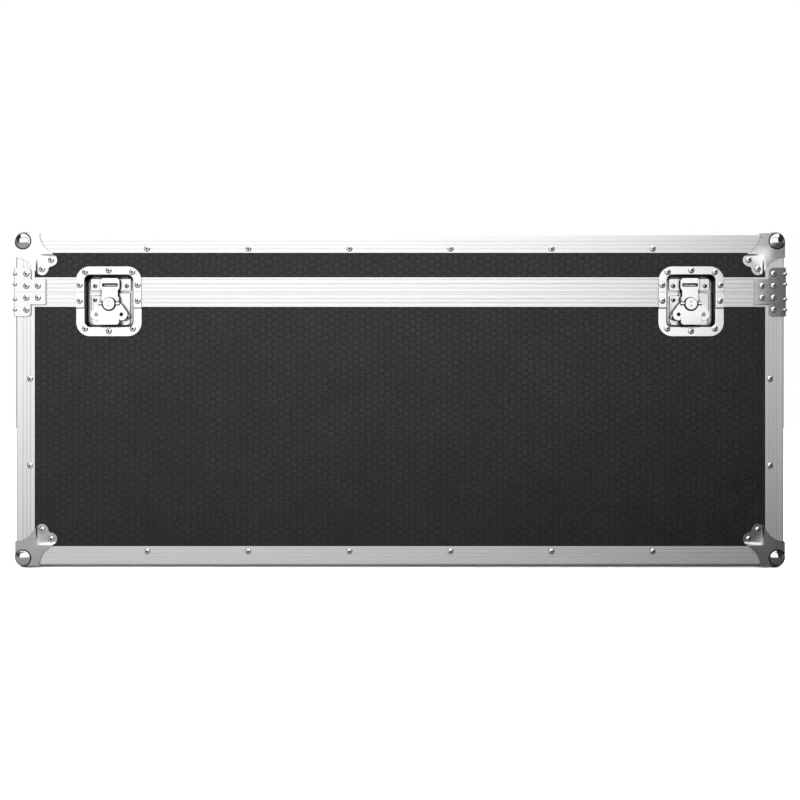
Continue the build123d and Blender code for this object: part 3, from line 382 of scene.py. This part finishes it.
def plating_grain(finish, spot):
    """The clouds and the fine speckle of a plated surface."""
    cloud = finish.noise(spot, scale=60.0, detail=4.0, roughness=0.6)
    speckle = finish.noise(spot, scale=1800.0)
    return cloud, speckle


def plated(name, dark, light, roughness, faces=None, reach=0.003):
    """Plating on steel, a little cloudy, with shade painted in its corners as far out as the reach.

    A pressing that faces along one axis, given by faces, has its sides painted dark, a painted shade.
    """
    finish = Finish(bpy.data.materials.new(name))
    cloud, speckle = plating_grain(finish, finish.spot())
    colour = finish.mixed(cloud * 0.6 + speckle * 0.4, grey(dark), grey(light))
    if faces is not None:
        # Painted shade: the sides that turn away from the facing axis are darkened
        square = finish.between(finish.facing()[faces], low=0.45, high=0.92)
        colour = finish.mixed(square, grey(plating_side_shade), colour)
    # Painted shade: darker in corners, gaps and holes
    colour = finish.mixed(finish.painted_crevice_shade(reach), grey(plating_crevice_shade), colour)
    return finish.surface(Base_Color=colour, Metallic=1.0,
                          Roughness=roughness * 0.75 + cloud * roughness * 0.5,
                          Normal=finish.bump(speckle + cloud, plating_relief, strength=0.35))


def corner_plating(name):
    """Plates of satin plating, with polished balls, and painted shade on the upright edges, in crevices and
    in a ring round the balls' roots.
    """
    finish = Finish(bpy.data.materials.new(name))
    spot = finish.spot()
    x, y, z = finish.parts(spot)
    off_x = abs(x) - ball_middle[0]
    off_y = abs(y) - ball_middle[1]
    off_z = abs(z - ball_low).least(abs(z - ball_high))
    away = off_x * off_x + off_y * off_y + off_z * off_z
    ball = away < ball_reach ** 2
    # Painted shade: a dark ring round the root of each ball
    root_shade_ring = (away < ball_root_reach ** 2) - ball
    cloud, speckle = plating_grain(finish, spot)
    plate = finish.mixed(cloud * 0.6 + speckle * 0.4, grey(corner_dark), grey(corner_light))
    # Painted shade on the upright edges and in crevices
    plate = finish.mixed(finish.upright_edge_shade(low=0.1, high=0.28), plate, grey(corner_edge_shade))
    plate = finish.mixed(finish.painted_crevice_shade(reach=0.004), grey(plating_crevice_shade), plate)
    colour = finish.mixed(root_shade_ring, finish.mixed(ball, plate, grey(ball_tone)), grey(root_shade_tone))
    plate_roughness = corner_roughness + cloud * (corner_roughness / 2)
    return finish.surface(Base_Color=colour, Metallic=1.0,
                          Roughness=plate_roughness * (1 - ball) + ball * ball_roughness,
                          Normal=finish.bump(speckle + cloud, plating_relief, strength=0.35))


def foam(name):
    """Black open-celled foam."""
    finish = Finish(bpy.data.materials.new(name))
    spot = finish.spot()
    cells = finish.node("TexVoronoi", Vector=spot, Scale=700.0)
    pores = finish.number(cells.outputs["Distance"])
    cloud = finish.noise(spot, scale=25.0, detail=3.0)
    colour = finish.mixed(pores * 0.7 + cloud * 0.3, grey(foam_dark), grey(foam_light))
    return finish.surface(Base_Color=colour, Roughness=0.92,
                          Normal=finish.bump(pores, foam_relief, strength=0.7))


def rubber(name):
    """Moulded black rubber."""
    finish = Finish(bpy.data.materials.new(name))
    grain = finish.noise(finish.spot(), scale=1200.0, detail=3.0)
    colour = finish.mixed(grain, grey(rubber_dark), grey(rubber_light))
    return finish.surface(Base_Color=colour, Roughness=0.5 + grain * 0.2,
                          Normal=finish.bump(grain, rubber_relief, strength=0.6))


laminate_long = laminate("laminate_long", across=0, up=2)
laminate_end = laminate("laminate_end", across=1, up=2)
laminate_flat = laminate("laminate_flat", across=0, up=1)
aluminium_ring = aluminium("aluminium_ring", lengthways=None)
aluminium_post = aluminium("aluminium_post", lengthways=2)
corner_plate = corner_plating("corner_plating")
brace_plate = plated("brace_plating", dark=0.68, light=0.84, roughness=0.125)
rivet_metal = plated("rivet_metal", dark=0.8, light=0.96, roughness=0.22)
# The mandrels' ends are painted near black, a painted shade of their holes
mandrel_hole_shade = plated("mandrel_hole_shade", dark=0.004, light=0.012, roughness=0.6)
dish_look = {"dark": 0.78, "light": 0.94, "roughness": 0.24, "reach": 0.009}
dish_plate = plated("dish_plating", faces=1, **dish_look)
end_dish_plate = plated("end_dish_plating", faces=0, **dish_look)
base_plating = plated("base_plating", dark=0.72, light=0.9, roughness=0.24, faces=1, reach=0.007)
works_plate = plated("works_plating", dark=0.8, light=0.96, roughness=0.22, faces=1, reach=0.004)
end_works_plate = plated("end_works_plating", dark=0.7, light=0.86, roughness=0.22)
hinge_plate = plated("hinge_plating", dark=0.6, light=0.74, roughness=0.28)
spring_steel = plated("spring_steel", dark=0.4, light=0.55, roughness=0.3)
black_foam = foam("black_foam")
grip_rubber = rubber("grip_rubber")


def slot_of(node):
    """The record's material slot for a node."""
    for part in frame["record"]["subparts"]:
        if part["node"] == node:
            return part["material_slot"]


def body_of(node):
    """The body that a node belongs to."""
    for body, members in frame["record"]["behaviour"]["bodies"].items():
        if node in members:
            return body


def paint(node, finish):
    """Give its finish to a node that stays as it is."""
    materials = nodes[node].data.materials
    materials.clear()
    materials.append(finish)


def select(piece):
    bpy.ops.object.select_all(action="DESELECT")
    piece.select_set(True)
    bpy.context.view_layer.objects.active = piece


def merged_copy(node):
    """A copy of a node's mesh with its loose triangles joined into whole faces."""
    piece = nodes[node].copy()
    piece.data = nodes[node].data.copy()
    piece.name = node + "_piece"
    piece.parent = None
    bpy.context.scene.collection.objects.link(piece)
    select(piece)
    if piece.data.has_custom_normals:
        bpy.ops.mesh.customdata_custom_splitnormals_clear()
    bpy.ops.object.mode_set(mode="EDIT")
    bpy.ops.mesh.select_all(action="SELECT")
    bpy.ops.mesh.remove_doubles(threshold=weld_reach)
    bpy.ops.object.mode_set(mode="OBJECT")
    return piece


def seat(piece, node, finish):
    """A finished piece takes a node's place and body."""
    piece.data.materials.clear()
    piece.data.materials.append(finish)
    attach(piece, body_of(node))
    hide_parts(node)
    slot_of(node)


def softened(node, finish, width=edge_softness, segments=edge_segments):
    """A node's piece with its edges broken, so that they catch the light as real ones do."""
    piece = merged_copy(node)
    edge = piece.modifiers.new("edges", "BEVEL")
    edge.width = width
    edge.segments = segments
    edge.limit_method = "ANGLE"
    edge.angle_limit = crease_angle
    edge.use_clamp_overlap = True
    select(piece)
    bpy.ops.object.modifier_apply(modifier=edge.name)
    bpy.ops.object.shade_smooth_by_angle(angle=smooth_angle)
    flats = piece.modifiers.new("flats", "WEIGHTED_NORMAL")
    flats.weight = flat_weight
    flats.keep_sharp = True
    bpy.ops.object.modifier_apply(modifier=flats.name)
    seat(piece, node, finish)
    return piece


def rivets_apart(net):
    """The vertices of each rivet in a net of many."""
    waiting = set(net.verts)
    while waiting:
        reached = [waiting.pop()]
        rivet = []
        while reached:
            corner = reached.pop()
            rivet.append(corner)
            for edge in corner.link_edges:
                other = edge.other_vert(corner)
                if other in waiting:
                    waiting.remove(other)
                    reached.append(other)
        yield rivet


def blind_rivets(node):
    """Bright heads, each with the end of its mandrel down in the middle painted near black as the shade of
    its hole.
    """
    piece = softened(node, rivet_metal, rivet_softness)
    piece.data.materials.append(mandrel_hole_shade)
    net = bmesh.new()
    net.from_mesh(piece.data)
    for rivet in rivets_apart(net):
        low = [min(corner.co[axis] for corner in rivet) for axis in range(3)]
        high = [max(corner.co[axis] for corner in rivet) for axis in range(3)]
        middle = Vector([(low[axis] + high[axis]) / 2 for axis in range(3)])
        # A round rivet runs along the axis whose two cross spans are alike
        span = [high[axis] - low[axis] for axis in range(3)]
        unlike = [abs(span[(axis + 1) % 3] - span[(axis + 2) % 3]) for axis in range(3)]
        lengthways = unlike.index(min(unlike))
        inner = {}
        for corner in rivet:
            away = corner.co - middle
            away[lengthways] = 0
            if away.length < mandrel_reach:
                inner[corner] = away
        # The mandrel's end is spread wider and takes the near-black finish, a painted shade of the hole
        for corner, away in inner.items():
            corner.co += away * (mandrel_spread - 1)
            for face in corner.link_faces:
                if all(other in inner for other in face.verts):
                    face.material_index = mandrel_slot
    net.to_mesh(piece.data)
    net.free()


def ribbed_grip(side):
    """The handle's rubber grip, with grooves round it for the fingers."""
    node = f"handle_grip_{side}"
    piece = merged_copy(node)
    count = int((grip_half - groove_pitch) / groove_pitch)
    grooves = [place * groove_pitch for place in range(-count, count + 1)]
    bpy.ops.object.mode_set(mode="EDIT")
    for groove in grooves:
        for offset in (-groove_rim, -groove_floor, groove_floor, groove_rim):
            bpy.ops.mesh.select_all(action="SELECT")
            bpy.ops.mesh.bisect(plane_co=(0, groove + offset, 0), plane_no=(0, 1, 0))
    bpy.ops.mesh.select_all(action="DESELECT")
    bpy.ops.object.mode_set(mode="OBJECT")
    axis_x = grip_middle[0] if side == "right" else -grip_middle[0]
    for corner in piece.data.vertices:
        away = Vector((corner.co.x - axis_x, 0, corner.co.z - grip_middle[1]))
        on_floor = any(abs(abs(corner.co.y - groove) - groove_floor) < level_slack for groove in grooves)
        if away.length > grip_r * skin_share and on_floor:
            corner.select = True
    bpy.ops.object.mode_set(mode="EDIT")
    bpy.ops.transform.resize(value=(groove_scale, 1, groove_scale),
                             center_override=(axis_x, 0, grip_middle[1]))
    bpy.ops.object.mode_set(mode="OBJECT")
    bpy.ops.object.shade_smooth_by_angle(angle=smooth_angle)
    seat(piece, node, grip_rubber)


def slim_pin(side):
    """The wing's pin, a hair shorter and thinner than its bore so that its facets stay clear."""
    node = f"latch_wing_pin_{side}"
    piece = merged_copy(node)
    low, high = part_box(node)
    middle = [(low[axis] + high[axis]) / 2 for axis in range(3)]
    bpy.ops.object.mode_set(mode="EDIT")
    bpy.ops.mesh.select_all(action="SELECT")
    bpy.ops.transform.resize(value=(pin_shorter, pin_thinner, pin_thinner), center_override=middle)
    bpy.ops.object.mode_set(mode="OBJECT")
    bpy.ops.object.shade_smooth_by_angle(angle=smooth_angle)
    seat(piece, node, works_plate)


def coil_springs():
    """Torsion springs round the bails' ends: a few turns, with one leg on the dish's floor."""
    wound = bpy.data.curves.new("springs", "CURVE")
    wound.dimensions = "3D"
    wound.bevel_depth = wire_r
    wound.bevel_resolution = wire_roundness
    wound.use_fill_caps = True
    steps = int(coil_turns * coil_points)
    for right in (-1, 1):
        for back in (-1, 1):
            x, y, z = right * coil_middle[0], back * coil_middle[1], coil_middle[2]
            start = y - back * coil_pitch * coil_turns / 2
            route = [(right * coil_floor, start, z - coil_r)]
            for step in range(steps + 1):
                turn = 2 * pi * step / coil_points
                along = back * coil_pitch * step / coil_points
                route.append((x + right * coil_r * sin(turn), start + along, z - coil_r * cos(turn)))
            line = wound.splines.new("POLY")
            line.points.add(len(route) - 1)
            for point, place in zip(line.points, route):
                point.co = (*place, 1)
    piece = bpy.data.objects.new("handle_springs_piece", wound)
    bpy.context.scene.collection.objects.link(piece)
    select(piece)
    bpy.ops.object.convert(target="MESH")
    piece = bpy.context.object
    bpy.ops.object.shade_smooth_by_angle(angle=coil_smooth_angle)
    seat(piece, "handle_springs", spring_steel)


# Panels
for half in ("base", "lid"):
    for side in ("front", "back"):
        paint(f"{half}_panel_{side}", laminate_long)
    for side in ("left", "right"):
        paint(f"{half}_panel_{side}", laminate_end)
paint("base_panel_bottom", laminate_flat)
paint("lid_panel_top", laminate_flat)

# Edging, corners and braces
for node in ("base_bottom_edges", "base_tongue_rails", "lid_top_edges", "lid_groove_rails"):
    softened(node, aluminium_ring)
for node in ("base_corner_posts", "lid_corner_posts"):
    softened(node, aluminium_post)
for node in ("base_ball_corners", "lid_ball_corners"):
    softened(node, corner_plate)
for node in ("base_corner_braces", "lid_corner_braces"):
    softened(node, brace_plate)

# Latches, end handles and hinges
for node in ("latch_base_dishes", "latch_lid_dishes"):
    softened(node, dish_plate)
softened("handle_dishes", end_dish_plate)
for node in ("latch_base_plates", "latch_keepers"):
    softened(node, base_plating)
softened("handle_brackets", end_works_plate)
for side in ("left", "right"):
    for part in ("knob", "wing", "claw"):
        softened(f"latch_{part}_{side}", works_plate)
    slim_pin(side)
    paint(f"handle_bail_{side}", end_works_plate)
    ribbed_grip(side)
for node in ("hinge_base_leaves", "hinge_lid_leaves"):
    softened(node, hinge_plate)
paint("hinge_pins", hinge_plate)
coil_springs()

# Rivets
for node in [name for name in nodes if name.endswith("_rivets")]:
    blind_rivets(node)

# Lining
for node in ("base_lining_walls", "base_lining_floor", "lid_lining_walls", "lid_lining_top"):
    softened(node, black_foam, foam_softness, foam_segments)


def area_light(name, size, middle, towards, radiance):
    """A rectangle of light that looks this bright, pointed from its middle towards a place."""
    lamp = bpy.data.lights.new(name, "AREA")
    lamp.shape = "RECTANGLE"
    lamp.size, lamp.size_y = size
    lamp.energy = radiance * pi * size[0] * size[1]
    holder = bpy.data.objects.new(name, lamp)
    holder.location = middle
    holder.rotation_euler = (Vector(towards) - Vector(middle)).to_track_quat("-Z", "Y").to_euler()
    holder.visible_camera = False
    bpy.context.scene.collection.objects.link(holder)


area_light("window", window_size, window_middle, (window_middle[0], 0, window_middle[2]), window_light)
area_light("softbox", softbox_size, softbox_middle, (softbox_middle[0], softbox_middle[1], 0), softbox_light)


def studio():
    """White to the camera, and in gloss dark in front, grey at the ends and pale behind the case."""
    world = bpy.data.worlds.new("studio")
    bpy.context.scene.world = world
    finish = Finish(world)
    seen, glossy = finish.rays()
    x, y = finish.parts(finish.node("TexCoord").outputs["Generated"], "XY")
    behind = finish.between(y, low=0.4, high=0.75)
    ends = finish.between(abs(x), low=0.9, high=0.98)
    gloss = gloss_level + gloss_behind * behind + gloss_ends * ends
    soft = soft_level + soft_behind * finish.between(y, low=0.0, high=0.6)
    level = seen + glossy * (1 - seen) * gloss + (1 - seen) * (1 - glossy) * soft
    background = finish.tree.nodes["Background"]
    background.inputs["Color"].default_value = grey(1.0)
    finish.feed(background.inputs["Strength"], level)


studio()


def pale_floor():
    """A floor that is white to the camera, keeps the case's shadow, and holds a dark flag for gloss."""
    bpy.ops.mesh.primitive_plane_add(size=floor_size)
    floor = bpy.context.object
    floor.name = "floor"
    finish = Finish(bpy.data.materials.new("pale_floor"))
    seen, glossy = finish.rays()
    x, y = finish.parts(finish.spot(), "XY")
    in_front = 1 - finish.between(abs(y - flag_middle), flag_core, flag_reach)
    flag = flag_depth * finish.between(x, flag_from, flag_full) * in_front
    tone = floor_tone + seen * floor_whiter - glossy * (1 - seen) * (floor_darker + flag)
    paper = finish.node("BsdfDiffuse", Color=tone)
    finish.feed(finish.tree.nodes["Material Output"].inputs[0], paper.outputs[0])
    floor.data.materials.append(finish.owner)


pale_floor()


def front_camera():
    camera = bpy.data.cameras.new("camera")
    camera.sensor_width = sensor
    camera.lens = sensor * camera_away / view_width
    holder = bpy.data.objects.new("camera", camera)
    holder.location = (0, -case_half[1] - camera_away, view_height)
    holder.rotation_euler = (pi / 2, 0, 0)
    bpy.context.scene.collection.objects.link(holder)
    bpy.context.scene.camera = holder


front_camera()
bpy.context.scene.view_settings.view_transform = "Standard"
